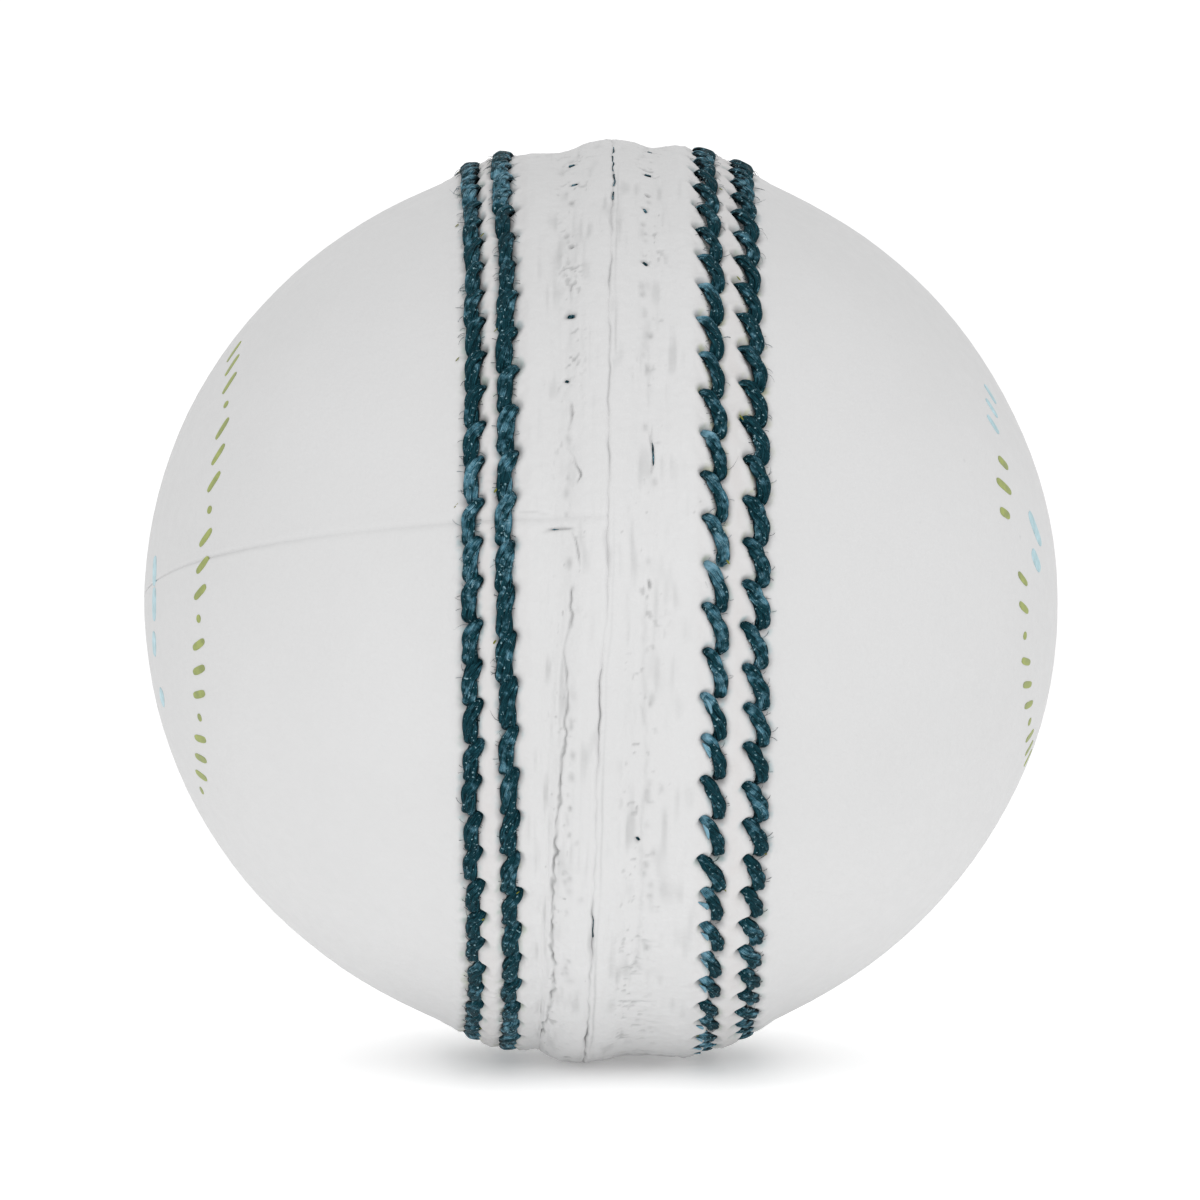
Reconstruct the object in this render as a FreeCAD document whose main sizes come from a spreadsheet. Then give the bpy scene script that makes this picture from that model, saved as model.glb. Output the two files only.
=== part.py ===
import FreeCAD, Part
import math
import os
import Sketcher

# Cricket ball, four-piece leather cover over a wound core. Millimetres.
# Origin at the centre of the ball. The main seam lies in the YZ plane, the poles are on the X axis,
# the front is -Y and +Z is up.

V = FreeCAD.Vector
ORIGIN = V(0, 0, 0)
AXIS = V(1, 0, 0)

os.makedirs("parts", exist_ok=True)
doc = FreeCAD.newDocument("cricket_ball")
sheet = doc.addObject("Spreadsheet::Sheet", "sizes")

# Heights called "rise" are measured out from the surface of the wound core. Positions called
# "across" are measured from the main seam towards the pole. Angles are in degrees.
SIZES = [
    ("core_radius", 32.0, "radius of the wound core"),
    ("nucleus_radius", 17.0, "radius of the moulded nucleus"),
    ("mould_line_depth", 0.3, "depth of the nucleus mould line"),
    ("mould_line_width", 0.6, "width of the nucleus mould line"),
    ("layer_gap", 0.05, "clearance between wound layers"),
    ("strip_gap", 0.4, "gap between neighbouring cork strips"),
    ("cover_gap", 0.1, "clearance between core and cover"),
    ("polar_rise", 4.0, "cover surface at the pole"),
    ("cap_rise", 3.1, "radius of the rounded cap, beyond the core radius"),
    ("crease_rise", 3.85, "meeting line of the two halves"),
    ("ridge_rise", 4.25, "crest of the main seam"),
    ("ridge_across", 0.6, "crest of the main seam"),
    ("shoulder_rise", 4.15, "edge of the crest"),
    ("shoulder_across", 1.6, "edge of the crest"),
    ("valley_rise", 3.5, "lips of the closing channel"),
    ("bulge_rise", 3.55, "padded band between valley and stitching"),
    ("bulge_across", 5.0, "padded band between valley and stitching"),
    ("welt_rise", 3.15, "inner edge of the middle stitch groove"),
    ("web_inner_rise", 2.85, "leather between the stitch rows, middle row side"),
    ("web_outer_rise", 2.5, "leather between the stitch rows, outer row side"),
    ("shelf_margin", 0.2, "flat part of the outer shelf beyond its row"),
    ("row_thread", 0.85, "thread diameter of the stitched rows"),
    ("thread_gap", 0.1, "room between two threads in one awl hole"),
    ("seat_gap", 0.05, "clearance between a thread and its groove"),
    ("hole_gap", 0.075, "clearance between a thread and its awl hole"),
    ("thread_bend", 0.6, "bend radius of the thread centre line"),
    ("middle_row_across", 7.85, "middle row of stitches"),
    ("middle_row_rise", 3.5, "top of the middle row thread"),
    ("row_spacing", 2.85, "middle row to outer row"),
    ("outer_row_rise", 2.6, "top of the outer row thread"),
    ("closing_thread", 0.7, "diameter of the closing threads"),
    ("closing_bend", 0.5, "bend radius of the closing threads"),
    ("closing_across", 2.9, "closing stitches"),
    ("closing_rise", 3.3, "top of the upper closing thread"),
    ("quarter_thread", 0.6, "diameter of the quarter seam thread"),
    ("quarter_bend", 0.4, "bend radius of the quarter seam thread"),
    ("quarter_bite", 1.5, "reach of the quarter seam stitch to each side of the joint"),
    ("quarter_depth", 1.1, "height of the quarter seam stitch"),
    ("quarter_margin", 2.3, "outer row of stitches to the end of the quarter seam"),
    ("lining_half_width", 4.0, "half width of the lining tape"),
    ("lining_thickness", 0.5, "thickness of the lining tape"),
    ("left_joint_angle", -14.0, "turn of the left quarter joint about the polar axis"),
    ("right_joint_angle", -104.0, "turn of the right quarter joint about the polar axis"),
]
# Places that keep their distance from another size.
TIED_SIZES = [
    ("outer_row_across", "=middle_row_across + row_spacing", "outer row of stitches"),
    ("quarter_angle", "=acos((outer_row_across + quarter_margin) / core_radius)",
     "half angle covered by the quarter seam, seen from the pole"),
]
for line, (name, value, note) in enumerate(SIZES + TIED_SIZES, start=1):
    sheet.set(f"A{line}", note)
    sheet.set(f"B{line}", str(value))
    sheet.setAlias(f"B{line}", name)
    doc.recompute()

# Stitches in each full row. Every count is even, so a quarter joint falls midway between two holes.
LEFT_OUTER = 70
LEFT_MIDDLE = 62
RIGHT_MIDDLE = 66
RIGHT_OUTER = 68
# A multiple of four, so joints a quarter turn apart fall midway between closing holes.
CLOSING = 64
QUARTER_STITCHES = 26
STRIP_CUTS = 4


def size(name):
    return float(sheet.get(name))


core_radius = size("core_radius")
cover_inside = core_radius + size("cover_gap")
row_thread = size("row_thread")
row_slant = row_thread + size("thread_gap")
row_half = (row_slant + row_thread) / 2
middle_across = size("middle_row_across")
outer_across = size("outer_row_across")


def on_ring(degrees, across, reach):
    """Point at a given reach from the polar axis, `degrees` round from +Y towards +Z."""
    turn = math.radians(degrees)
    return V(across, reach * math.cos(turn), reach * math.sin(turn))


def axis_turn(degrees, flip=False):
    """Placement that turns about the polar axis, flipped end for end first when asked."""
    turn = FreeCAD.Rotation(AXIS, degrees)
    if flip:
        turn = turn.multiply(FreeCAD.Rotation(V(0, 0, 1), 180))
    return FreeCAD.Placement(ORIGIN, turn)


# ---------------------------------------------------------------- threads

def tube(points, thickness, bend, start_cap, end_cap):
    """Round thread along a polyline whose corners are rounded to the bend radius."""
    heading = (points[1] - points[0]).normalize()
    here = points[0]
    disc = Part.Face(Part.Wire(Part.makeCircle(thickness / 2, here, heading)))
    faces = []
    if start_cap:
        faces.append(disc)
    for corner, after in zip(points[1:-1], points[2:]):
        next_heading = (after - corner).normalize()
        turn = heading.getAngle(next_heading)
        bend_start = corner - heading * (bend * math.tan(turn / 2))
        run = bend_start - here
        faces += side_faces(disc.extrude(run))
        disc = disc.translated(run)
        hinge = heading.cross(next_heading).normalize()
        centre = bend_start + hinge.cross(heading) * bend
        faces += side_faces(disc.revolve(centre, hinge, math.degrees(turn)))
        disc = disc.rotated(centre, hinge, math.degrees(turn))
        here = corner + next_heading * (bend * math.tan(turn / 2))
        heading = next_heading
    run = points[-1] - here
    faces += side_faces(disc.extrude(run))
    if end_cap:
        faces.append(disc.translated(run))
    skin = Part.makeCompound(faces)
    skin.sewShape()
    return Part.makeSolid(skin.Shells[0])


def side_faces(solid):
    return [face for face in solid.Faces if not isinstance(face.Surface, Part.Plane)]


def ring_thread(stops, thickness, bend):
    """Endless thread through a ring of stops, made as two lengths joined end to end."""
    middle = (stops[0] + stops[1]) * 0.5
    half = 2 * (len(stops) // 4)
    far_middle = (stops[half] + stops[half + 1]) * 0.5
    first = [middle] + stops[1:half + 1] + [far_middle]
    second = [far_middle] + stops[half + 1:] + [stops[0], middle]
    lengths = [tube(path, thickness, bend, True, True) for path in (first, second)]
    joined = lengths[0].fuse(lengths[1])
    return joined.Solids[0]


def row_stops(count, across, side, top, under, start):
    """Stops of one thread of a saddle-stitched row: over, down, under, up, two holes at a time."""
    step = 360 / count
    inner = side * (across - row_slant / 2)
    outer = side * (across + row_slant / 2)
    stops = []
    for stitch in range(start, count + start, 2):
        hole = (stitch + 0.5) * step
        stops.append(on_ring(hole, inner, under))
        stops.append(on_ring(hole, inner, top))
        stops.append(on_ring(hole + step, outer, top))
        stops.append(on_ring(hole + step, outer, under))
    return stops


def row_levels(across, rise_name):
    """Reach of the thread centre line above the leather and below it."""
    top = core_radius + size(rise_name) - row_thread / 2
    widest = across + row_half
    under = math.sqrt(cover_inside ** 2 - widest ** 2) - row_thread / 2 - size("seat_gap")
    return top, under


def add_shape(label, shape, placement=None):
    feature = doc.addObject("Part::Feature", label)
    feature.Label = label
    feature.Shape = shape
    if placement is not None:
        feature.Placement = placement
    return feature


nodes = []
left_turn = axis_turn(size("left_joint_angle"))
right_turn = axis_turn(size("right_joint_angle"))
middle_levels = row_levels(middle_across, "middle_row_rise")
outer_levels = row_levels(outer_across, "outer_row_rise")
ROWS = [
    ("left_outer", LEFT_OUTER, outer_across, -1, outer_levels, left_turn),
    ("left_middle", LEFT_MIDDLE, middle_across, -1, middle_levels, left_turn),
    ("right_middle", RIGHT_MIDDLE, middle_across, 1, middle_levels, right_turn),
    ("right_outer", RIGHT_OUTER, outer_across, 1, outer_levels, right_turn),
]
for row, count, across, side, (top, under), placement in ROWS:
    for start, letter in enumerate("ab"):
        stops = row_stops(count, across, side, top, under, start)
        shape = ring_thread(stops, row_thread, size("thread_bend"))
        nodes.append(add_shape(f"row_thread_{row}_{letter}", shape, placement))

# The closing threads zigzag through both lips. Thread B runs one thread deeper than thread A and
# crosses the seam the other way at every hole.
closing_thread = size("closing_thread")
closing_across = size("closing_across")
closing_top = core_radius + size("closing_rise") - closing_thread / 2
closing_deep = closing_top - closing_thread - size("thread_gap")
for letter, reach, side in (("a", closing_top, -1), ("b", closing_deep, 1)):
    step = 360 / CLOSING
    stops = []
    for stitch in range(0, CLOSING, 2):
        hole = (stitch + 0.5) * step
        stops.append(on_ring(hole, side * closing_across, reach))
        stops.append(on_ring(hole + step, side * closing_across, reach))
        stops.append(on_ring(hole + step, -side * closing_across, reach))
        stops.append(on_ring(hole + 2 * step, -side * closing_across, reach))
    shape = ring_thread(stops, closing_thread, size("closing_bend"))
    nodes.append(add_shape(f"closing_thread_{letter}", shape, left_turn))

# The quarter seam thread whips along the joint, inside the thickness of the leather.
quarter_thread = size("quarter_thread")
quarter_bite = size("quarter_bite")
quarter_low = cover_inside + quarter_thread / 2 + size("hole_gap")
quarter_high = quarter_low + size("quarter_depth")
quarter_angle = size("quarter_angle")
quarter_step = 2 * quarter_angle / QUARTER_STITCHES


def on_joint(degrees, lateral, reach):
    """Point beside the joint plane, `degrees` round from the +X pole towards +Y."""
    turn = math.radians(degrees)
    return V(reach * math.cos(turn), reach * math.sin(turn), lateral)


quarter_stops = []
for stitch in range(QUARTER_STITCHES):
    angle = (stitch + 0.5) * quarter_step - quarter_angle
    quarter_stops.append(on_joint(angle, -quarter_bite, quarter_low))
    quarter_stops.append(on_joint(angle, -quarter_bite, quarter_high))
    quarter_stops.append(on_joint(angle, quarter_bite, quarter_high))
    quarter_stops.append(on_joint(angle, quarter_bite, quarter_low))
quarter_shape = tube(quarter_stops, quarter_thread, size("quarter_bend"), True, True)
left_flip = axis_turn(size("left_joint_angle"), flip=True)
nodes.append(add_shape("quarter_seam_thread_left", quarter_shape, left_flip))
nodes.append(add_shape("quarter_seam_thread_right", quarter_shape.copy(), right_turn))


# ---------------------------------------------------------------- sketched bodies

def origin_part(body, role):
    return [item for item in body.Origin.OriginFeatures if item.Role == role][0]


def pin(sketch, edge, end, across, reach):
    """Hold the end of an edge at a sheet-driven position in the sketch."""
    for kind, axis, text in (("DistanceX", -2, across), ("DistanceY", -1, reach)):
        if text == "0":
            sketch.addConstraint(Sketcher.Constraint("PointOnObject", edge, end, axis))
            continue
        value = float(sketch.evalExpression(text))
        row = sketch.addConstraint(Sketcher.Constraint(kind, -1, 1, edge, end, value))
        sketch.setExpression(f"Constraints[{row}]", text)


def profile(body, plane, corners, arcs):
    """Closed sketch through the corners. `arcs` gives a radius for the edge leaving a corner."""
    sketch = body.newObject("Sketcher::SketchObject", f"{body.Name}_profile")
    sketch.AttachmentSupport = [(origin_part(body, plane), "")]
    sketch.MapMode = "FlatFace"
    spots = [V(*(float(sketch.evalExpression(text)) for text in corner), 0) for corner in corners]
    starts = []
    for index, spot in enumerate(spots):
        following = spots[(index + 1) % len(spots)]
        if index not in arcs:
            sketch.addGeometry(Part.LineSegment(spot, following), False)
            starts.append((1, 2))
            continue
        radius_text, clockwise = arcs[index]
        radius = float(sketch.evalExpression(radius_text))
        low, high = (following, spot) if clockwise else (spot, following)
        chord = high - low
        rise = math.sqrt(radius ** 2 - chord.Length ** 2 / 4)
        centre = (low + high) * 0.5 + V(-chord.y, chord.x, 0).normalize() * rise
        begin = math.atan2(low.y - centre.y, low.x - centre.x)
        finish = math.atan2(high.y - centre.y, high.x - centre.x)
        circle = Part.Circle(centre, V(0, 0, 1), radius)
        sketch.addGeometry(Part.ArcOfCircle(circle, begin, finish), False)
        starts.append((2, 1) if clockwise else (1, 2))
        row = sketch.addConstraint(Sketcher.Constraint("Radius", index, radius))
        sketch.setExpression(f"Constraints[{row}]", radius_text)
    for index, (across, reach) in enumerate(corners):
        before = (index - 1) % len(corners)
        join = Sketcher.Constraint("Coincident", before, starts[before][1], index, starts[index][0])
        sketch.addConstraint(join)
        pin(sketch, index, starts[index][0], across, reach)
    return sketch


def revolved(label, plane, axis, corners, arcs, angle, midplane=False):
    body = doc.addObject("PartDesign::Body", label)
    sketch = profile(body, plane, corners, arcs)
    turn = body.newObject("PartDesign::Revolution", f"{label}_turn")
    turn.Profile = sketch
    turn.ReferenceAxis = (origin_part(body, axis), [""])
    turn.Midplane = midplane
    turn.Refine = False
    if isinstance(angle, str):
        turn.setExpression("Angle", angle)
    else:
        turn.Angle = angle
    body.Tip = turn
    return body


ROW_SLANT = "(sizes.row_thread + sizes.thread_gap)"
ROW_HALF = f"({ROW_SLANT} / 2 + sizes.row_thread / 2 + sizes.thread_gap)"
MIDDLE_IN = f"sizes.middle_row_across - {ROW_HALF}"
MIDDLE_OUT = f"sizes.middle_row_across + {ROW_HALF}"
OUTER_IN = f"sizes.outer_row_across - {ROW_HALF}"
SHELF_END = "(sizes.outer_row_across + sizes.row_thread / 2)"
CAP_START = f"(sizes.outer_row_across + {ROW_HALF} + sizes.shelf_margin)"
# The straight thread between two holes dips below its own ends, most where the stitches are longest.
MIDDLE_FLOOR = ("(sizes.core_radius + sizes.middle_row_rise - sizes.row_thread / 2)"
                f" * cos(180 / {min(LEFT_MIDDLE, RIGHT_MIDDLE)}) - sizes.row_thread / 2 - sizes.seat_gap")
OUTER_FLOOR = ("(sizes.core_radius + sizes.outer_row_rise - sizes.row_thread / 2)"
               f" * cos(180 / {min(LEFT_OUTER, RIGHT_OUTER)}) - sizes.row_thread / 2 - sizes.seat_gap")
CHANNEL_HALF = "(sizes.closing_thread / 2 + 2 * sizes.hole_gap)"
CHANNEL_IN = f"sizes.closing_across - {CHANNEL_HALF}"
CHANNEL_OUT = f"sizes.closing_across + {CHANNEL_HALF}"
CHANNEL_FLOOR = ("sizes.core_radius + sizes.closing_rise - 2 * sizes.closing_thread"
                 " - sizes.thread_gap - sizes.hole_gap")
CAP_RADIUS = "(sizes.core_radius + sizes.cap_rise)"
CAP_SHIFT = "(sizes.polar_rise - sizes.cap_rise)"
CAP_EDGE = f"sqrt({CAP_RADIUS} ^ 2 - ({CAP_START} - {CAP_SHIFT}) ^ 2)"
COVER_INSIDE = "(sizes.core_radius + sizes.cover_gap)"

# Section of the cover from the main seam to the pole: crease, crest, closing channel, padded band,
# groove of the middle row, web, shelf of the outer row, then the rounded cap.
COVER_CORNERS = [
    ("0", COVER_INSIDE),
    ("0", "sizes.core_radius + sizes.crease_rise"),
    ("sizes.ridge_across", "sizes.core_radius + sizes.ridge_rise"),
    ("sizes.shoulder_across", "sizes.core_radius + sizes.shoulder_rise"),
    (CHANNEL_IN, "sizes.core_radius + sizes.valley_rise"),
    (CHANNEL_IN, CHANNEL_FLOOR),
    (CHANNEL_OUT, CHANNEL_FLOOR),
    (CHANNEL_OUT, "sizes.core_radius + sizes.valley_rise"),
    ("sizes.bulge_across", "sizes.core_radius + sizes.bulge_rise"),
    (MIDDLE_IN, "sizes.core_radius + sizes.welt_rise"),
    (MIDDLE_IN, MIDDLE_FLOOR),
    (MIDDLE_OUT, MIDDLE_FLOOR),
    (MIDDLE_OUT, "sizes.core_radius + sizes.web_inner_rise"),
    (OUTER_IN, "sizes.core_radius + sizes.web_outer_rise"),
    (OUTER_IN, OUTER_FLOOR),
    (SHELF_END, OUTER_FLOOR),
    (CAP_START, CAP_EDGE),
    ("sizes.core_radius + sizes.polar_rise", "0"),
    (COVER_INSIDE, "0"),
]
CAP_ARC = 16
INSIDE_ARC = 18
COVER_ARCS = {CAP_ARC: (CAP_RADIUS, True), INSIDE_ARC: (COVER_INSIDE, False)}


# ---------------------------------------------------------------- cover

def awl_slot(degrees, across, low, high):
    """Slot that holds two threads side by side, cut square to the polar axis."""
    width = row_thread / 2 + size("hole_gap")
    reach = row_slant / 2
    plate = Part.makeBox(2 * reach, 2 * width, high - low, V(across - reach, -width, low))
    ends = [Part.makeCylinder(width, high - low, V(across + shift, 0, low)) for shift in (-reach, reach)]
    slot = plate.fuse(ends).removeSplitter()
    slot.rotate(ORIGIN, AXIS, degrees - 90)
    return slot


def half_turn_holes(count):
    return [(stitch + 0.5) * 360 / count for stitch in range(count // 2)]


def closing_hole_angles(turn, edge):
    """Closing holes that reach a half turn of leather, whose joint lies `turn` behind theirs."""
    angles = [((stitch + 0.5) * 360 / CLOSING + turn + edge) % 360 - edge for stitch in range(CLOSING)]
    return [degrees for degrees in angles if degrees < 180 + edge]


def cover_cutters(outer_count, middle_count, closing_turn):
    """Everything punched through one leather quarter, in the quarter's own frame."""
    cutters = []
    for count, across, levels in ((outer_count, outer_across, outer_levels),
                                  (middle_count, middle_across, middle_levels)):
        for degrees in half_turn_holes(count):
            cutters.append(awl_slot(degrees, across, levels[1] - row_thread, levels[0]))
    half = closing_thread / 2 + size("hole_gap")
    low = closing_deep - half
    tunnel_height = closing_top + half - low
    for degrees in closing_hole_angles(closing_turn, math.degrees(half / low)):
        tunnel = Part.makeBox(closing_across + half, 2 * half, tunnel_height, V(0, -half, low))
        tunnel.rotate(ORIGIN, AXIS, degrees - 90)
        cutters.append(tunnel)
    half = quarter_thread / 2 + size("hole_gap")
    reach = quarter_bite + half
    spread = quarter_angle + quarter_step / 2
    channel = Part.makeCylinder(quarter_low + half, 2 * reach, V(0, 0, -reach), V(0, 0, 1), 2 * spread)
    channel.rotate(ORIGIN, V(0, 0, 1), -spread)
    notches = []
    for stitch in range(QUARTER_STITCHES):
        angle = (stitch + 0.5) * quarter_step - quarter_angle
        notch = Part.makeBox(quarter_high + half - core_radius, 2 * half, 2 * reach,
                             V(core_radius, -half, -reach))
        notch.rotate(ORIGIN, V(0, 0, 1), angle)
        notches.append(notch)
    cutters.append(channel.fuse(notches))
    return Part.makeCompound(cutters)


QUARTERS = [
    ("cover_left_upper", LEFT_OUTER, LEFT_MIDDLE, "left_joint_angle", 0, True),
    ("cover_left_lower", LEFT_OUTER, LEFT_MIDDLE, "left_joint_angle", 180, True),
    ("cover_right_rear", RIGHT_OUTER, RIGHT_MIDDLE, "right_joint_angle", 0, False),
    ("cover_right_front", RIGHT_OUTER, RIGHT_MIDDLE, "right_joint_angle", 180, False),
]
for label, outer_count, middle_count, angle_name, extra, flip in QUARTERS:
    blank = revolved(f"{label}_blank", "XY_Plane", "X_Axis", COVER_CORNERS, COVER_ARCS, 180)
    closing_turn = size("left_joint_angle") - size(angle_name) - extra
    cutters = add_shape(f"{label}_cutters", cover_cutters(outer_count, middle_count, closing_turn))
    quarter = doc.addObject("Part::Cut", label)
    quarter.Label = label
    quarter.Base = blank
    quarter.Tool = cutters
    quarter.Refine = False
    quarter.Placement = axis_turn(size(angle_name) + extra, flip)
    nodes.append(quarter)

# ---------------------------------------------------------------- lining tapes

LINING_IN = "(sizes.core_radius - sizes.lining_thickness)"
LINING_CORNERS = [
    (f"sqrt(sizes.core_radius ^ 2 - sizes.lining_half_width ^ 2)", "-sizes.lining_half_width"),
    (f"sqrt(sizes.core_radius ^ 2 - sizes.lining_half_width ^ 2)", "sizes.lining_half_width"),
    (f"sqrt({LINING_IN} ^ 2 - sizes.lining_half_width ^ 2)", "sizes.lining_half_width"),
    (f"sqrt({LINING_IN} ^ 2 - sizes.lining_half_width ^ 2)", "-sizes.lining_half_width"),
]
LINING_ARCS = {0: ("sizes.core_radius", False), 2: (LINING_IN, True)}
for side, placement in (("left", left_flip), ("right", right_turn)):
    tape = revolved(f"lining_tape_{side}", "XZ_Plane", "Z_Axis", LINING_CORNERS, LINING_ARCS,
                    "2 * sizes.quarter_angle", midplane=True)
    tape.Placement = placement
    nodes.append(tape)

# ---------------------------------------------------------------- core

LAYER = "(sizes.core_radius - sizes.nucleus_radius) / 5"


def ball(label, radius_text):
    sphere = doc.addObject("Part::Sphere", label)
    sphere.setExpression("Radius", radius_text)
    return sphere


def cut(label, base, tool):
    result = doc.addObject("Part::Cut", label)
    result.Label = label
    result.Base = base
    result.Tool = tool
    result.Refine = False
    return result


def layer(label, number):
    """Hollow ball of the numbered layer, counted out from the nucleus."""
    inside = f"sizes.nucleus_radius + {number} * {LAYER} + sizes.layer_gap"
    outside = f"sizes.nucleus_radius + {number + 1} * {LAYER}"
    return cut(label, ball(f"{label}_outside", outside), ball(f"{label}_inside", inside))


def strips(label, number, axis):
    """Layer parted into gores by planes through one axis."""
    whole = layer(f"{label}_layer", number)
    blades = []
    for index in range(STRIP_CUTS):
        blade = doc.addObject("Part::Box", f"{label}_blade_{index}")
        for side in ("Length", "Width"):
            blade.setExpression(side, "2.2 * sizes.core_radius")
        blade.setExpression("Height", "sizes.strip_gap")
        turn = FreeCAD.Rotation(axis, index * 180 / STRIP_CUTS)
        if axis.z:
            turn = turn.multiply(FreeCAD.Rotation(AXIS, 90))
        centre = V(1.1 * core_radius, 1.1 * core_radius, size("strip_gap") / 2)
        blade.Placement = FreeCAD.Placement(-turn.multVec(centre), turn)
        blades.append(blade)
    knife = doc.addObject("Part::Compound", f"{label}_knife")
    knife.Links = blades
    return cut(label, whole, knife)


NUCLEUS_CORNERS = [
    ("0", "-sizes.nucleus_radius"),
    ("sqrt(sizes.nucleus_radius ^ 2 - sizes.mould_line_width ^ 2 / 4)", "-sizes.mould_line_width / 2"),
    ("sizes.nucleus_radius - sizes.mould_line_depth", "0"),
    ("sqrt(sizes.nucleus_radius ^ 2 - sizes.mould_line_width ^ 2 / 4)", "sizes.mould_line_width / 2"),
    ("0", "sizes.nucleus_radius"),
]
NUCLEUS_ARCS = {0: ("sizes.nucleus_radius", False), 3: ("sizes.nucleus_radius", False)}
nodes.append(revolved("core_nucleus", "XZ_Plane", "Z_Axis", NUCLEUS_CORNERS, NUCLEUS_ARCS, 360))
nodes.append(layer("yarn_winding_inner", 0))
nodes.append(strips("cork_strips_inner", 1, V(0, 0, 1)))
nodes.append(layer("yarn_winding_middle", 2))
nodes.append(strips("cork_strips_outer", 3, AXIS))

# The outer winding is grooved under each stitched row and recessed under each lining tape.
pressed = []
for across, levels in ((outer_across, outer_levels), (middle_across, middle_levels)):
    half = row_half + size("thread_gap")
    floor = levels[1] - row_thread / 2 - 2 * size("seat_gap")
    for side in (-1, 1):
        start = V(side * across - half, 0, 0)
        wide = Part.makeCylinder(core_radius + 1, 2 * half, start, AXIS)
        pressed.append(wide.cut(Part.makeCylinder(floor, 2 * half, start, AXIS)))
recess_half = size("lining_half_width") + size("layer_gap")
recess_spread = quarter_angle + math.degrees(size("layer_gap") / core_radius)
for placement in (left_flip, right_turn):
    slab = Part.makeCylinder(core_radius + 1, 2 * recess_half, V(0, 0, -recess_half), V(0, 0, 1),
                             2 * recess_spread)
    slab.rotate(ORIGIN, V(0, 0, 1), -recess_spread)
    slab = slab.cut(Part.makeSphere(core_radius - size("lining_thickness") - size("layer_gap")))
    slab.Placement = placement.multiply(slab.Placement)
    pressed.append(slab)
press_marks = add_shape("winding_press_marks", pressed[0].fuse(pressed[1:]))
nodes.append(cut("yarn_winding_outer", layer("yarn_winding_outer_blank", 4), press_marks))

# ---------------------------------------------------------------- check and save

doc.recompute()
for item in doc.Objects:
    if "Invalid" in item.State or "Error" in item.State:
        raise RuntimeError(f"{item.Label} did not recompute: {item.State}")
for node in nodes:
    if node.Shape.isNull() or not node.Shape.isValid() or not node.Shape.Solids:
        raise RuntimeError(f"{node.Label} has no valid solid")
    node.Shape.exportStep(f"parts/{node.Label}.step")
    print(node.Label, len(node.Shape.Solids), round(node.Shape.Volume, 1))
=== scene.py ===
import functools
import math

import bpy
import numpy as np
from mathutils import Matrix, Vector


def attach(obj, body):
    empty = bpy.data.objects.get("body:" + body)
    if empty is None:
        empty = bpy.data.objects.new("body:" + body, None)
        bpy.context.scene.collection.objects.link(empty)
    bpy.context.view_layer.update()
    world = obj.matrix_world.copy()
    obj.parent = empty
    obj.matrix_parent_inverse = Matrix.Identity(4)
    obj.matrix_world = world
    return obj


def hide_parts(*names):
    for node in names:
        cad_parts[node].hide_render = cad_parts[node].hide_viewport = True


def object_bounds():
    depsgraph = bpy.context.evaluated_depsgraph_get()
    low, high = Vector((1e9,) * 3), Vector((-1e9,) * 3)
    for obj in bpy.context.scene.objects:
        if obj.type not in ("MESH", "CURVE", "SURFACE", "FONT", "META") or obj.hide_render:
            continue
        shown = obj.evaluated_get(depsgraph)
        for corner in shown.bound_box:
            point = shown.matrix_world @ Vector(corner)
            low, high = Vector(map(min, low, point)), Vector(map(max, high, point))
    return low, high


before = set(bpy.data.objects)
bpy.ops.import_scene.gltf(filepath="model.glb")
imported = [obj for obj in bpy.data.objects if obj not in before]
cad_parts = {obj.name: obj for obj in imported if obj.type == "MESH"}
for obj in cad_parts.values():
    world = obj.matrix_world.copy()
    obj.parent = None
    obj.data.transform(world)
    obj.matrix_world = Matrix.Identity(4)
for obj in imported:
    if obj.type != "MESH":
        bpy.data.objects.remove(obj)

cad_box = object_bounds()
MM = 0.001

# Everything below is in millimetres on the ball: "across" is the distance from the main seam, the
# angle goes round the polar axis from +Y over the top (90) to the front (180) and the bottom (270).
# Side -1 is the left half as seen from the front, side 1 the right half.
INSIDE = 32.1  # radius of the cover's inner face
CAP_RADIUS = 35.0  # rounding of each half outside the stitched band
CAP_SHIFT = 0.9  # distance of that rounding's centre from the seam
BAND_EDGE = 13.0  # where the stitched band meets the cap
SEAM_SHIFT = 0.35  # how far the stitched band stands to +X
VALLEY_ACROSS = 3.0
MIDDLE_ACROSS = 7.85
WEB_ACROSS = 9.3  # between the two rows of one half
OUTER_ACROSS = 10.7
LEFT_JOINT = -14.0  # angles where the quarters of each half meet
RIGHT_JOINT = -104.0
CLOSING = 64  # stitches of the closing seam
RIDGE_DEGREE = 0.62  # run of one degree round the ridge
FAR = 9.0  # further than any stitch reaches


# ------------------------------------------------------------------ noise

def hash3(i, j, k, seed):
    """The same value between -1 and 1 each time for one cell of a grid."""
    n = (i.astype(np.uint64) * 73856093) ^ (j.astype(np.uint64) * 19349663)
    n = n ^ (k.astype(np.uint64) * 83492791) ^ np.uint64(seed * 2654435761)
    n = (n ^ (n >> np.uint64(13))) * np.uint64(1274126177)
    n = (n ^ (n >> np.uint64(16))) & np.uint64(0xFFFFFF)
    return n.astype(float) / 0xFFFFFF * 2 - 1


def noise(points, scale, seed=0):
    """Smooth value noise between -1 and 1."""
    q = points / scale + 1000.0
    cell = np.floor(q).astype(np.int64)
    f = q - cell
    f = f * f * (3 - 2 * f)
    total = 0
    for dx in (0, 1):
        wx = f[..., 0] if dx else 1 - f[..., 0]
        for dy in (0, 1):
            wy = f[..., 1] if dy else 1 - f[..., 1]
            for dz in (0, 1):
                wz = f[..., 2] if dz else 1 - f[..., 2]
                corner = hash3(cell[..., 0] + dx, cell[..., 1] + dy, cell[..., 2] + dz, seed)
                total = total + wx * wy * wz * corner
    return total


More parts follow.
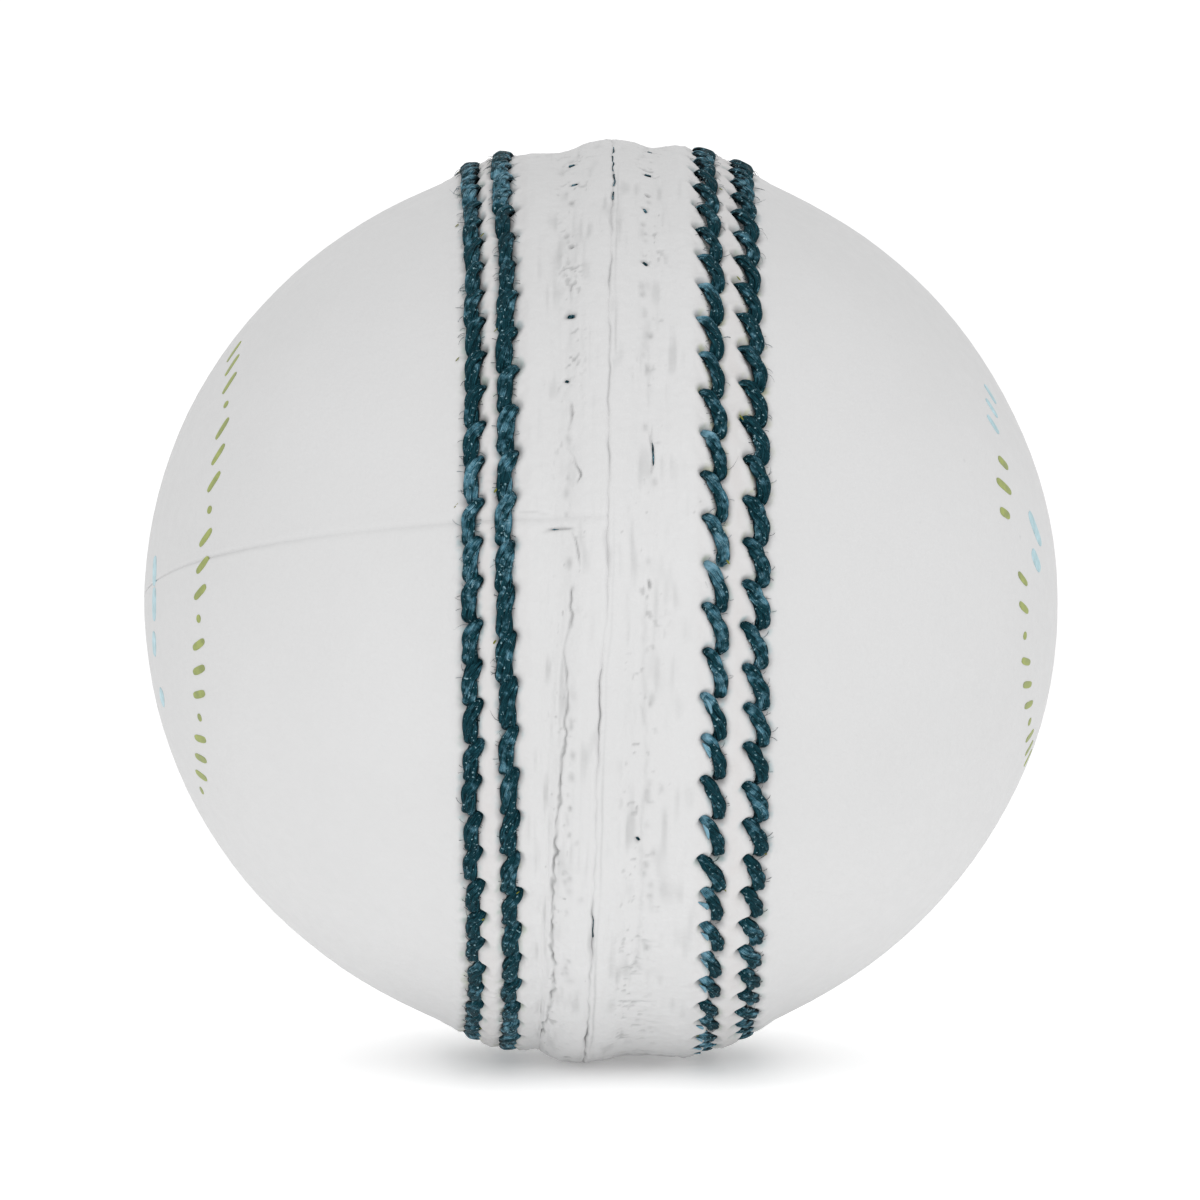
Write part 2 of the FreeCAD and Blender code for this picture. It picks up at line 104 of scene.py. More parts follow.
def smooth(t):
    """Ease from 0 to 1 while t goes from 0 to 1."""
    t = np.clip(t, 0, 1)
    return t * t * (3 - 2 * t)


def bump(d, width):
    """Bell that is 1 where d is 0."""
    return np.exp(-(d / width) ** 2)


def deepest(*layers):
    """The largest of several layers at each point."""
    return functools.reduce(np.maximum, layers)


def bell_weights(count):
    kernel = np.exp(-np.linspace(-2, 2, count) ** 2)
    return kernel / kernel.sum()


def round_axis(x, reach, turn):
    """Points at distance `reach` from the polar axis, turned round it."""
    return np.stack(np.broadcast_arrays(x, reach * np.cos(turn), reach * np.sin(turn)), axis=-1)


def periodic(angles, values):
    """Smooth periodic curve through a few (angle, value) pairs."""
    fine = np.arange(0, 360, 1.0)
    raw = np.interp(fine, angles, values, period=360)
    soft = sum(w * np.roll(raw, s) for s, w in zip(range(-6, 7), bell_weights(13)))
    return lambda a: np.interp(np.mod(a, 360), fine, soft, period=360)


# ------------------------------------------------------------------ cover shape

# Section of each half of the cover, as (across, reach from the polar axis).
SECTION = {
    -1: [(0, 36.25), (0.9, 36.25), (1.7, 36.12), (2.4, 35.85), (3.1, 35.5), (4.0, 35.22),
         (5.2, 35.18), (6.3, 35.15), (6.9, 35.02), (7.85, 34.9), (8.8, 34.8), (9.3, 34.66),
         (9.9, 34.42), (10.7, 34.0), (11.5, 33.62), (12.3, 33.3), (13.0, 32.95)],
    1: [(0, 36.25), (0.9, 36.22), (1.7, 36.06), (2.5, 35.82), (3.3, 35.66), (4.2, 35.74),
        (5.4, 35.84), (6.3, 35.7), (6.9, 35.45), (7.85, 35.05), (8.8, 34.9), (9.3, 34.78),
        (9.9, 34.5), (10.7, 34.05), (11.5, 33.65), (12.3, 33.32), (13.0, 32.95)],
}
FINE = np.arange(0, BAND_EDGE + 6, 0.05)


def soft_section(side):
    """Rounded section of one half, at the distances in FINE."""
    xs, ys = zip(*SECTION[side])
    cap = np.sqrt(CAP_RADIUS ** 2 - (FINE - CAP_SHIFT) ** 2)
    raw = np.where(FINE <= BAND_EDGE, np.interp(FINE, xs, ys), cap)
    padded = np.concatenate([raw[8:0:-1], raw, raw[-2:-10:-1]])
    return np.convolve(padded, bell_weights(17), "valid")


SOFT = {side: soft_section(side) for side in (-1, 1)}


def section(side, across):
    return np.interp(across, FINE, SOFT[side])


# The crest of the seam wanders from side to side round the ball.
crest_wander = periodic(
    [0, 30, 60, 86, 113, 135, 161, 176, 187, 213, 241, 266, 300, 330],
    [-0.5, 0.0, 0.4, 0.47, 0.35, -0.1, -0.3, -0.4, -1.0, -1.35, -1.7, -1.95, -1.6, -1.0])


def near_crest(across):
    """How much of the crest's wander the cover follows at each distance from the seam."""
    return 1 - smooth((across - 2.6) / 3.6)


def seam_shift(across, angle):
    """Sideways shift of the cover and its stitching, in mm along +X."""
    near = near_crest(across)
    ends = 1 - smooth((across - 14) / 20)
    turn = np.radians(angle)
    shiver = 0.05 * np.sin(23 * turn) + 0.04 * np.sin(61 * turn + 1)
    shiver = shiver + 0.025 * np.sin(127 * turn + 2)
    return crest_wander(angle) * near + SEAM_SHIFT * ends + shiver * bump(across, 0.8)


DRIFT_ANGLES = [20, 60, 110, 128, 152, 176, 202, 227, 245, 300, 340]


def stitched_row(side, count, across, joint, thick, seed, drift):
    """One full row of stitches, with the small differences between its hand-made stitches."""
    dice = np.random.default_rng(100 + seed)
    return dict(side=side, count=count, across=across, joint=joint, seed=seed,
                drift=periodic(DRIFT_ANGLES, [0.1, -0.1] + drift + [-0.1, 0.1]),
                start_jitter=dice.normal(0, 0.07, count), end_jitter=dice.normal(0, 0.06, count),
                step_jitter=dice.normal(0, 0.035, count),
                thick=thick * (1 + dice.normal(0, 0.05, count)),
                phase=dice.uniform(0, 2 * math.pi, count), lift=dice.normal(0, 0.03, count),
                worn=dice.uniform(0, 1, count))


ROWS = {
    "left_outer": stitched_row(-1, 70, OUTER_ACROSS, LEFT_JOINT, 0.94, 1,
                               [0.0, 0.35, 0.25, 0.1, 0.15, 0.35, 0.3]),
    "left_middle": stitched_row(-1, 62, MIDDLE_ACROSS, LEFT_JOINT, 1.0, 2,
                                [-0.4, 0.0, -0.05, -0.2, 0.1, 0.3, 0.2]),
    "right_middle": stitched_row(1, 66, MIDDLE_ACROSS, RIGHT_JOINT, 0.80, 3,
                                 [-0.35, -0.1, -0.2, 0.05, -0.25, -0.1, -0.25]),
    "right_outer": stitched_row(1, 68, OUTER_ACROSS, RIGHT_JOINT, 0.90, 4,
                                [-0.25, -0.15, 0.25, 0.15, 0.3, 0.0, -0.1]),
}


def row_across(row, angle):
    """Distance of a row's middle from the seam, which drifts round the ball."""
    return row["across"] + row["side"] * row["drift"](angle)


def stitch_sway(row, k, t):
    """Sideways place of a stitch's centre line, from its inner hole at t = 0 to its outer one."""
    k = np.mod(k, row["count"])
    if row["side"] == 1:
        start = -0.42 + row["start_jitter"][k]
        end = 0.36 + row["end_jitter"][k]
        glide = smooth((t + 0.06) / 0.78)
        tuck = -0.22 * smooth((t - 0.84) / 0.3) - 0.34 * (1 - smooth((t + 0.10) / 0.22))
    else:
        start = -0.40 + row["start_jitter"][k]
        end = 0.10 + row["end_jitter"][k]
        glide = smooth((t + 0.10) / 0.50)
        tuck = 0.08 * smooth((t - 0.70) / 0.3)
    return start + (end - start) * glide + tuck


def row_press(row, across, angle, reach):
    """How the leather yields round one row: sunk under thread, pinched at holes, puffed between."""
    pitch = 360 / row["count"]
    place = (angle - row["joint"]) / pitch - 0.5
    first = np.floor(place).astype(int)
    lateral = across - row_across(row, angle)
    step_length = math.radians(pitch) * reach
    nearest = np.full(lateral.shape, FAR)
    hole = np.full(lateral.shape, FAR)
    for k in (first - 1, first, first + 1):
        t = place - k + row["step_jitter"][np.mod(k, row["count"])]
        over = np.clip(t, 0, 1)
        gap = (t - over) * step_length
        nearest = np.minimum(nearest, np.hypot(lateral - stitch_sway(row, k, over), gap))
        inner = np.hypot(lateral - stitch_sway(row, k, 0.0) + 0.12,
                         (place - k + 0.03) * step_length)
        outer = np.hypot(lateral - stitch_sway(row, k, 1.0), (place - k - 1) * step_length)
        hole = np.minimum(hole, np.minimum(inner, outer))
    width = 0.60 * float(np.mean(row["thick"]))
    press = -0.42 * bump(nearest, width) - 0.45 * bump(hole, 0.40)
    puff = 0.10 * bump(nearest - width - 0.42, 0.32)
    return press + puff, nearest / width, hole


# Marks of the closing stitches in the two valleys: angle, distance along +X from the middle of the
# rows, half length, half width, slant from the seam in degrees, depth, and whether thread shows.
NICKS = [
    (98, 3.3, 0.35, 0.16, 60, 0.16, True),
    (109.3, 3.05, 0.42, 0.15, 80, 0.16, True),
    (115.5, 3.0, 0.22, 0.16, 40, 0.30, False),
    (119.4, 2.75, 0.42, 0.15, 20, 0.20, True),
    (124.5, 2.75, 0.22, 0.12, 10, 0.10, False),
    (130.3, 2.65, 0.34, 0.20, 50, 0.22, True),
    (138.5, 2.6, 0.5, 0.20, 0, 0.07, False),
    (146.5, 2.7, 0.4, 0.16, 5, 0.05, False),
    (158.1, 3.05, 1.5, 0.09, 2, 0.13, True),
    (174.1, 2.76, 0.34, 0.11, 8, 0.22, False),
    (190.0, 2.3, 0.9, 0.14, 8, 0.06, False),
    (206.3, 1.9, 0.30, 0.20, 30, 0.18, True),
    (104.0, -2.8, 0.35, 0.16, 70, 0.13, True),
    (111.6, -2.65, 0.38, 0.16, 65, 0.17, True),
    (116.8, -2.9, 0.5, 0.20, 10, 0.08, False),
    (126.5, -3.0, 0.26, 0.16, 20, 0.26, False),
    (129.5, -3.25, 0.35, 0.16, 0, 0.10, False),
    (138.8, -3.1, 0.42, 0.24, 75, 0.26, True),
    (148.3, -3.4, 0.26, 0.15, 60, 0.20, True),
    (152.8, -3.05, 0.9, 0.10, 0, 0.14, False),
    (167.3, -4.0, 1.0, 0.10, 92, 0.20, True),
    (165.2, -5.9, 1.3, 0.10, 84, 0.06, False),
]


def hidden_nicks():
    """Marks like those above round the back of the ball."""
    dice = np.random.default_rng(42)
    marks = []
    for angle in np.arange(255, 450, 5.6):
        for side in (-1, 1):
            marks.append((angle + dice.normal(0, 0.8), side * (3.05 + dice.normal(0, 0.2)) - 0.3,
                          dice.uniform(0.2, 0.5), dice.uniform(0.1, 0.2), dice.uniform(0, 80),
                          dice.uniform(0.05, 0.25), dice.uniform() < 0.35))
    return marks


NICKS += hidden_nicks()


def nick_press(x, angle):
    """Depth of the closing-stitch marks at each point."""
    depth = np.zeros(x.shape)
    for place, offset, half_long, half_wide, slant, deep, _ in NICKS:
        for turn in (-360, 0, 360):
            near = np.abs(angle[:, 0] - place - turn) < 3.5
            if not near.any():
                continue
            along = (angle[near] - place - turn) * RIDGE_DEGREE
            beside = x[near] - offset
            lean = math.radians(slant)
            u = along * math.cos(lean) + beside * math.sin(lean)
            v = beside * math.cos(lean) - along * math.sin(lean) + 0.12 * u ** 2 / half_long
            pit = deep * np.exp(-(u / half_long) ** 4 - (v / half_wide) ** 2)
            depth[near] = np.maximum(depth[near], pit)
    return depth


def stipple(x, angle, seed, count, spread):
    """Small scattered dents along both valleys."""
    dice = np.random.default_rng(seed)
    depth = np.zeros(x.shape)
    first, last = angle[0, 0], angle[-1, 0]
    for _ in range(count):
        place = dice.uniform(first, last)
        offset = dice.choice([-1, 1]) * VALLEY_ACROSS - 0.3 + dice.normal(0, spread)
        size, deep = dice.uniform(0.10, 0.28), dice.uniform(0.03, 0.13)
        near = np.abs(angle[:, 0] - place) < 1.6
        along = (angle[near] - place) * RIDGE_DEGREE
        beside = x[near] - offset
        depth[near] += deep * np.exp(-(along / (size * 1.6)) ** 2 - (beside / size) ** 2)
    return depth


# Worn lines in the two valleys: angles, distances along +X from the middle of the rows, depth and
# half width.
CRACKS = [
    ([174.5, 178.4, 182, 185.4, 189, 194, 198.5, 204.7, 215.7, 223.7, 230.5, 239, 248],
     [-3.0, -3.06, -3.75, -3.55, -3.4, -3.65, -3.85, -4.2, -4.45, -4.5, -4.3, -4.8, -5.05],
     0.15, 0.10),
    ([157.2, 158.6, 161.0, 161.6], [-3.45, -3.0, -2.5, -2.75], 0.11, 0.09),
    ([167.7, 169.5, 171.8], [-3.15, -2.85, -2.55], 0.11, 0.085),
    ([151.5, 153.0, 155.2], [-3.15, -3.05, -3.2], 0.10, 0.085),
    ([154.6, 157.5, 160.6], [2.95, 3.1, 3.05], 0.09, 0.085),
    ([176, 186, 196, 206, 216, 228], [2.5, 2.3, 2.6, 2.1, 2.3, 1.9], 0.035, 0.16),
    ([300, 320, 335, 350, 368], [-3.4, -3.2, -3.5, -3.1, -3.3], 0.12, 0.10),
    ([20, 34, 47, 66, 80], [-3.2, -3.4, -3.05, -3.3, -3.0], 0.12, 0.10),
    ([10, 25, 41, 58], [3.3, 3.1, 3.4, 3.2], 0.11, 0.10),
    ([282, 296, 312, 330], [3.1, 3.35, 3.0, 3.2], 0.11, 0.10),
]


def crack_press(x, angle, points):
    """Depth of the worn lines at each point."""
    depth = np.zeros(x.shape)
    waver = 0.17 * noise(points, 1.3, 21) + 0.12 * noise(points, 0.5, 22)
    strength = np.clip(0.85 + 0.75 * noise(points, 1.0, 23), 0.15, 1.6)
    for angles, places, deep, width in CRACKS:
        for turn in (0, 360):
            a = angle + turn
            inside = smooth((a - angles[0]) / 1.2 + 0.5) * smooth((angles[-1] - a) / 1.2 + 0.5)
            line = np.interp(a, angles, places) + waver
            depth = np.maximum(depth, deep * inside * bump(x - line, width) * strength)
    return depth


def cap_lift(points):
    """Slight unevenness of the stretched leather, which sags a little below the poles' line."""
    sag = -0.006 * points[..., 2]
    along = np.clip((np.abs(points[..., 0]) - 12) / 24, 0, 1)
    slack = -0.08 - 0.24 * (points[..., 0] > 0)
    slack = slack * 4 * along * (1 - along)
    return sag + slack + 0.07 * noise(points, 13, 5) + 0.03 * noise(points, 4.5, 6)


def cover_grid(side, first, steps, columns):
    """Points of one quarter's outer surface, with its dirt and painted shade, its dye and its
    duller web.
    """
    angle = first + np.linspace(0, 180, steps + 1)[:, None]
    across = columns["across"][None, :]
    base = columns["reach"][None, :]
    turn = np.radians(angle)
    rest = round_axis(side * across, base, turn)
    round_seam = rest * [0, 1, 1]
    shift = seam_shift(across, angle)
    x_seen = side * across + shift - SEAM_SHIFT
    band = 1 - smooth((across - 12) / 2)
    near_seam = 1 - smooth((across - 5.5) / 1.5)
    lift = cap_lift(rest) * (1 - 0.6 * near_seam)
    ripple = 0.035 * noise(rest * [1, 0.45, 0.45], 1.3, 7) + 0.015 * noise(rest, 0.6, 8)
    lift = lift + band * ripple
    wrinkle = 0.6 * noise(rest * [1, 0.3, 0.3], 0.9, 15)
    wrinkle = wrinkle + 0.4 * noise(rest * [1, 0.12, 0.12], 0.3, 16)
    lift = lift + near_seam * (0.10 * wrinkle + 0.03 * noise(rest, 0.45, 45))
    # Darker in the wrinkles' troughs: painted shade.
    dirt_and_shade = near_seam * 0.22 * smooth(-wrinkle * 1.6 - 0.25)
    dye = np.zeros(lift.shape)
    for row in ROWS.values():
        if row["side"] != side:
            continue
        press, nearest, hole = row_press(row, across, angle, float(section(side, row["across"])))
        window = 1 - smooth((np.abs(across - row["across"]) - 2.0) / 0.6)
        lift = lift + press * window
        crumple = noise(rest * [0.5, 1.5, 1.5], 0.5, 9)
        lift = lift + window * 0.07 * bump(nearest - 1.7, 0.6) * crumple
        # Darker along the thread and in the awl holes: dirt and painted shade.
        dirt_and_shade = np.maximum(dirt_and_shade, window * (0.25 * bump(nearest, 1.25) + 0.4 * bump(hole, 0.4)))
        patchy = np.clip(noise(rest, 0.7, 31) + noise(rest, 0.25, 32), 0, 1)
        dye = np.maximum(dye, window * bump(np.maximum(nearest - 1.15, 0), 0.45) * patchy)
    marks = 0.8 * stipple(x_seen, angle, 60 + side, 150, 0.35) * near_seam
    marks = nick_press(x_seen, angle) + marks
    cracks = crack_press(x_seen, angle, rest)
    pits = noise(rest, 0.30, 41) + 0.5 * noise(rest, 0.55, 46) + 0.6 * noise(rest, 2.2, 42)
    pits = bump(across - VALLEY_ACROSS, 1.1) * smooth((pits - 0.7) / 0.4)
    dots = smooth((noise(rest, 0.36, 43) - 0.86) / 0.08) * smooth(noise(rest, 5, 44) + 0.3)
    lift = lift - marks - cracks - 0.09 * pits
    # Darker in the cracks, nicks, dents and pits: dirt and painted shade in those hollows. The
    # scattered dots are real specks.
    dirt_and_shade = deepest(dirt_and_shade, 0.45 * dots * (across < 7), cracks * 3.4, marks * 2.6, 0.34 * pits)
    crease = bump(across, 0.09) * (0.08 + 0.06 * noise(round_seam, 4, 13))
    fold = bump(x_seen - crest_wander(angle) - 0.42 - 0.1 * noise(round_seam, 3, 17), 0.09)
    fold = fold * 0.05 * smooth(noise(round_seam, 8, 18) + 0.4)
    lift = lift - crease - fold + 0.04 * bump(across - 0.4, 0.22)
    # The crease and the fold line are darkened too: dirt and painted shade.
    dirt_and_shade = deepest(dirt_and_shade, crease * (1.6 + 4.2 * noise(round_seam, 2.2, 19)), fold * 5)
    edge = np.minimum(angle - first, first + 180 - angle) * math.radians(1) * 30
    joint = bump(edge, 0.20) * (0.08 + 0.05 * noise(rest, 5, 14))
    lift = lift - joint + 0.02 * bump(edge - 0.6, 0.4)
    dirt_and_shade = np.maximum(dirt_and_shade, joint * 0.8)
    x = side * (across + columns["normal_x"] * lift) + shift
    r = base + columns["normal_r"] * lift
    web = 0.75 * bump(across - WEB_ACROSS, 0.9) * (1 + 0.5 * noise(rest, 0.8, 33))
    web = np.broadcast_to(web + 0.25 * bump(across - 6.6, 0.4), lift.shape)
    return round_axis(x, r, turn), np.clip(dirt_and_shade, 0, 1), np.clip(dye, 0, 1), np.clip(web, 0, 1)


def column_table(side):
    """Section of the outer surface from the crease to just short of the pole."""
    stretches = [(0, 0.6, 7), (0.6, 1.8, 8), (1.8, 5.0, 32), (5.0, 12.2, 46), (12.2, BAND_EDGE, 4)]
    runs = [np.linspace(low, high, steps + 1)[1:] for low, high, steps in stretches]
    band = np.concatenate([[0]] + runs)
    start = math.asin((BAND_EDGE - CAP_SHIFT) / CAP_RADIUS)
    tilt = np.linspace(start, math.pi / 2, 26)[1:-1]
    cap_x = CAP_SHIFT + CAP_RADIUS * np.sin(tilt)
    cap_r = CAP_RADIUS * np.cos(tilt)
    across = np.concatenate([band, cap_x])
    reach = np.concatenate([section(side, band), cap_r])
    slope = np.gradient(section(side, FINE), FINE)
    slope = np.interp(band, FINE, slope)
    length = np.hypot(slope, 1)
    normal_x = np.concatenate([-slope / length, np.sin(tilt)])
    normal_r = np.concatenate([1 / length, np.cos(tilt)])
    return dict(across=across, reach=reach, normal_x=normal_x, normal_r=normal_r)


# ------------------------------------------------------------------ mesh helpers

def new_mesh(name, points, faces, attributes=(), sharp=None):
    """Smooth piece with per-point attributes; `sharp` is the angle of the edges kept sharp."""
    mesh = bpy.data.meshes.new(name)
    mesh.from_pydata((np.asarray(points) * MM).tolist(), [], faces)
    mesh.polygons.foreach_set("use_smooth", np.ones(len(mesh.polygons), dtype=bool))
    for key, values in attributes:
        data = mesh.attributes.new(key, "FLOAT", "POINT")
        data.data.foreach_set("value", np.asarray(values, dtype=np.float32))
    mesh.update()
    if sharp:
        mesh.set_sharp_from_angle(angle=math.radians(sharp))
    piece = bpy.data.objects.new(name, mesh)
    bpy.context.scene.collection.objects.link(piece)
    return piece


def declare(piece, slot, material, *nodes):
    """Give a piece its material and its body, and hide the CAD parts it stands for. The slot is not
    used.
    """
    piece.data.materials.append(material)
    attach(piece, "root")
    if nodes:
        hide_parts(*nodes)


# ------------------------------------------------------------------ materials

# Layers on the threads: wear with painted sheen, wax, place along and round the strand, and how far
# up it faces, which sets painted shade on the lower sides.
THREAD_LAYERS = ("worn", "olive", "strand", "around", "top")


def material(name):
    mat = bpy.data.materials.new(name)
    mat.use_nodes = True
    tree = mat.node_tree
    shader = tree.nodes["Principled BSDF"]
    return mat, tree, shader


def node(tree, kind, inputs=None, **settings):
    item = tree.nodes.new(kind)
    for key, value in settings.items():
        setattr(item, key, value)
    for key, value in (inputs or {}).items():
        if isinstance(value, bpy.types.NodeSocket):
            tree.links.new(value, item.inputs[key])
        else:
            item.inputs[key].default_value = value
    return item


def ramp(tree, source, stops):
    item = tree.nodes.new("ShaderNodeValToRGB")
    tree.links.new(source, item.inputs["Fac"])
    marks = item.color_ramp.elements
    while len(marks) > 1:
        marks.remove(marks[-1])
    marks[0].position, marks[0].color = stops[0]
    for place, colour in stops[1:]:
        mark = marks.new(place)
        mark.color = colour
    return item.outputs["Color"]


def grey(level):
    return (level, level, level, 1)


def mix(tree, factor, a, b, mode="MIX"):
    item = tree.nodes.new("ShaderNodeMix")
    item.data_type = "RGBA"
    item.blend_type = mode
    for socket, value in ((item.inputs[0], factor), (item.inputs[6], a), (item.inputs[7], b)):
        if isinstance(value, bpy.types.NodeSocket):
            tree.links.new(value, socket)
        else:
            socket.default_value = value
    return item.outputs[2]


def maths(tree, operation, a, b):
    item = tree.nodes.new("ShaderNodeMath")
    item.operation = operation
    for socket, value in zip(item.inputs, (a, b)):
        if isinstance(value, bpy.types.NodeSocket):
            tree.links.new(value, socket)
        else:
            socket.default_value = value
    return item.outputs[0]


def object_place(tree):
    return node(tree, "ShaderNodeTexCoord").outputs["Object"]


def attribute(tree, name):
    return node(tree, "ShaderNodeAttribute", attribute_name=name).outputs["Fac"]


def cloud(tree, place, scale, detail, **more):
    """Factor of a noise texture."""
    inputs = {"Vector": place, "Scale": scale, "Detail": detail, **more}
    return node(tree, "ShaderNodeTexNoise", inputs).outputs["Fac"]


def bump_chain(tree, shader, *layers):
    """Bump from several height sockets, each with its own distance in metres."""
    normal = None
    for height, distance, strength in layers:
        inputs = {"Height": height, "Distance": distance, "Strength": strength}
        item = node(tree, "ShaderNodeBump", inputs)
        if normal:
            tree.links.new(normal, item.inputs["Normal"])
        normal = item.outputs["Normal"]
    tree.links.new(normal, shader.inputs["Normal"])


def cells(tree, place, scale):
    return node(tree, "ShaderNodeTexVoronoi", {"Vector": place, "Scale": scale}, feature="F1")


def leather_material():
    mat, tree, shader = material("white_leather")
    place = object_place(tree)
    broad = cloud(tree, place, 45.0, 3.0)
    fine = cloud(tree, place, 900.0, 4.0)
    grain = cells(tree, place, 2600.0).outputs["Distance"]
    specks = cells(tree, place, 210.0).outputs["Distance"]
    speck = ramp(tree, specks, [(0.0, grey(1)), (0.035, grey(0.6)), (0.06, grey(0))])
    patch = ramp(tree, broad, [(0.55, grey(0)), (0.7, grey(1))])
    speck = mix(tree, 1.0, speck, patch, "MULTIPLY")
    tone = ramp(tree, broad, [(0.3, (0.592, 0.592, 0.593, 1)), (0.7, (0.620, 0.620, 0.622, 1))])
    tone = mix(tree, maths(tree, "MULTIPLY", fine, 0.25), tone, (0.577, 0.577, 0.578, 1))
    tone = mix(tree, attribute(tree, "web"), tone, (0.580, 0.566, 0.562, 1))
    tone = mix(tree, maths(tree, "MULTIPLY", speck, 0.5), tone, (0.2, 0.22, 0.23, 1))
    # Darker where the leather is soiled and where its hollows and stitch holes would lie in shade:
    # real dirt plus painted shade.
    grime_and_shade = maths(tree, "MULTIPLY", attribute(tree, "dirt_and_shade"), maths(tree, "ADD", 0.55, fine))
    tone = mix(tree, grime_and_shade, tone, (0.16, 0.165, 0.165, 1))
    tint = ramp(tree, broad, [(0.42, (0.30, 0.47, 0.50, 1)), (0.6, (0.42, 0.44, 0.22, 1))])
    tone = mix(tree, maths(tree, "MULTIPLY", attribute(tree, "dye"), 0.55), tone, tint)
    tree.links.new(tone, shader.inputs["Base Color"])
    rough = ramp(tree, fine, [(0.3, grey(0.5)), (0.7, grey(0.66))])
    tree.links.new(rough, shader.inputs["Roughness"])
    shader.inputs["Specular IOR Level"].default_value = 0.3
    bump_chain(tree, shader, (grain, 0.00006, 0.35), (fine, 0.0001, 0.3))
    return mat


def thread_material():
    mat, tree, shader = material("teal_thread")
    place = object_place(tree)
    worn, olive, strand, around, top = (attribute(tree, layer) for layer in THREAD_LAYERS)
    lay = node(tree, "ShaderNodeCombineXYZ", {"X": strand, "Y": around}).outputs["Vector"]
    fibre = cloud(tree, lay, 11.0, 6.0, Roughness=0.65)
    blotch = cloud(tree, place, 1500.0, 4.0)
    wide = cloud(tree, place, 260.0, 2.0)
    glint = cloud(tree, place, 4200.0, 2.0)
    dark = ramp(tree, fibre, [(0.40, (0.001, 0.010, 0.014, 1)), (0.50, (0.003, 0.031, 0.042, 1)),
                              (0.62, (0.030, 0.140, 0.182, 1))])
    pale = ramp(tree, fibre, [(0.38, (0.006, 0.055, 0.085, 1)), (0.50, (0.06, 0.22, 0.31, 1)),
                              (0.62, (0.40, 0.68, 0.80, 1))])
    spread = maths(tree, "ADD", maths(tree, "MULTIPLY", blotch, 0.8),
                   maths(tree, "MULTIPLY", wide, 0.3))
    # Pale patches: real worn thread, with painted sheen where the stitches pass over the top and
    # bottom of the ball.
    level = maths(tree, "ADD", spread, maths(tree, "MULTIPLY", worn, 0.20))
    patch = ramp(tree, level, [(0.62, grey(0)), (0.79, grey(0.95))])
    tone = mix(tree, patch, dark, pale)
    palest_wear_and_sheen = ramp(tree, level, [(0.80, grey(0)), (0.93, grey(0.75))])
    tone = mix(tree, palest_wear_and_sheen, tone, (0.30, 0.56, 0.70, 1))
    # Painted shade: each strand is darker on its lower sides, by how far up it faces.
    flank_shade = ramp(tree, maths(tree, "ADD", maths(tree, "MULTIPLY", top, 0.5), 0.5),
                 [(0.48, grey(0.12)), (0.88, grey(1.0))])
    tone = mix(tree, 1.0, tone, flank_shade, "MULTIPLY")
    # Painted highlights: small pale glints scattered over the thread's colour.
    painted_glints = ramp(tree, glint, [(0.64, grey(0)), (0.72, grey(0.8))])
    tone = mix(tree, painted_glints, tone, (0.40, 0.64, 0.72, 1))
    tone = mix(tree, olive, tone, (0.30, 0.31, 0.05, 1))
    tree.links.new(tone, shader.inputs["Base Color"])
    shader.inputs["Roughness"].default_value = 0.45
    shader.inputs["Specular IOR Level"].default_value = 0.04
    bump_chain(tree, shader, (fibre, 0.00016, 1.0))
    return mat


def foil_material(name, colour, second):
    mat, tree, shader = material(name)
    flake = cloud(tree, object_place(tree), 1400.0, 4.0)
    tone = ramp(tree, flake, [(0.35, colour), (0.7, second)])
    tree.links.new(tone, shader.inputs["Base Color"])
    rough = ramp(tree, flake, [(0.3, grey(0.35)), (0.7, grey(0.6))])
    tree.links.new(rough, shader.inputs["Roughness"])
    return mat


def yarn_material():
    mat, tree, shader = material("wound_yarn")
    place = object_place(tree)
    waves = []
    for turn in ((0.3, 0.2, 0.9), (1.2, 0.7, 0.1), (0.5, 1.4, 0.6)):
        spin = node(tree, "ShaderNodeMapping", {"Vector": place, "Rotation": turn})
        inputs = {"Vector": spin.outputs["Vector"], "Scale": 260.0, "Distortion": 1.5,
                  "Detail": 2.0, "Detail Scale": 1.5}
        waves.append(node(tree, "ShaderNodeTexWave", inputs).outputs["Fac"])
    high = maths(tree, "MAXIMUM", maths(tree, "MAXIMUM", waves[0], waves[1]), waves[2])
    fluff = cloud(tree, place, 1500.0, 5.0)
    tone = ramp(tree, high, [(0.3, (0.20, 0.16, 0.10, 1)), (0.8, (0.58, 0.52, 0.40, 1)),
                             (1.0, (0.68, 0.62, 0.50, 1))])
    tone = mix(tree, maths(tree, "MULTIPLY", fluff, 0.3), tone, (0.75, 0.70, 0.60, 1))
    tree.links.new(tone, shader.inputs["Base Color"])
    shader.inputs["Roughness"].default_value = 0.9
    bump_chain(tree, shader, (high, 0.0006, 0.8), (fluff, 0.0001, 0.5))
    return mat


def cork_material():
    mat, tree, shader = material("cork")
    place = object_place(tree)
    crumbs = cells(tree, place, 520.0)
    pits = cloud(tree, place, 900.0, 6.0)
    tone = ramp(tree, crumbs.outputs["Color"], [
        (0.1, (0.20, 0.10, 0.045, 1)), (0.5, (0.40, 0.24, 0.12, 1)), (0.9, (0.56, 0.37, 0.20, 1))])
    pitted = ramp(tree, pits, [(0.56, grey(0)), (0.64, grey(0.8))])
    tone = mix(tree, pitted, tone, (0.08, 0.04, 0.02, 1))
    tree.links.new(tone, shader.inputs["Base Color"])
    shader.inputs["Roughness"].default_value = 0.85
    bump_chain(tree, shader, (pits, 0.0003, 0.7), (crumbs.outputs["Distance"], 0.0003, 0.5))
    return mat


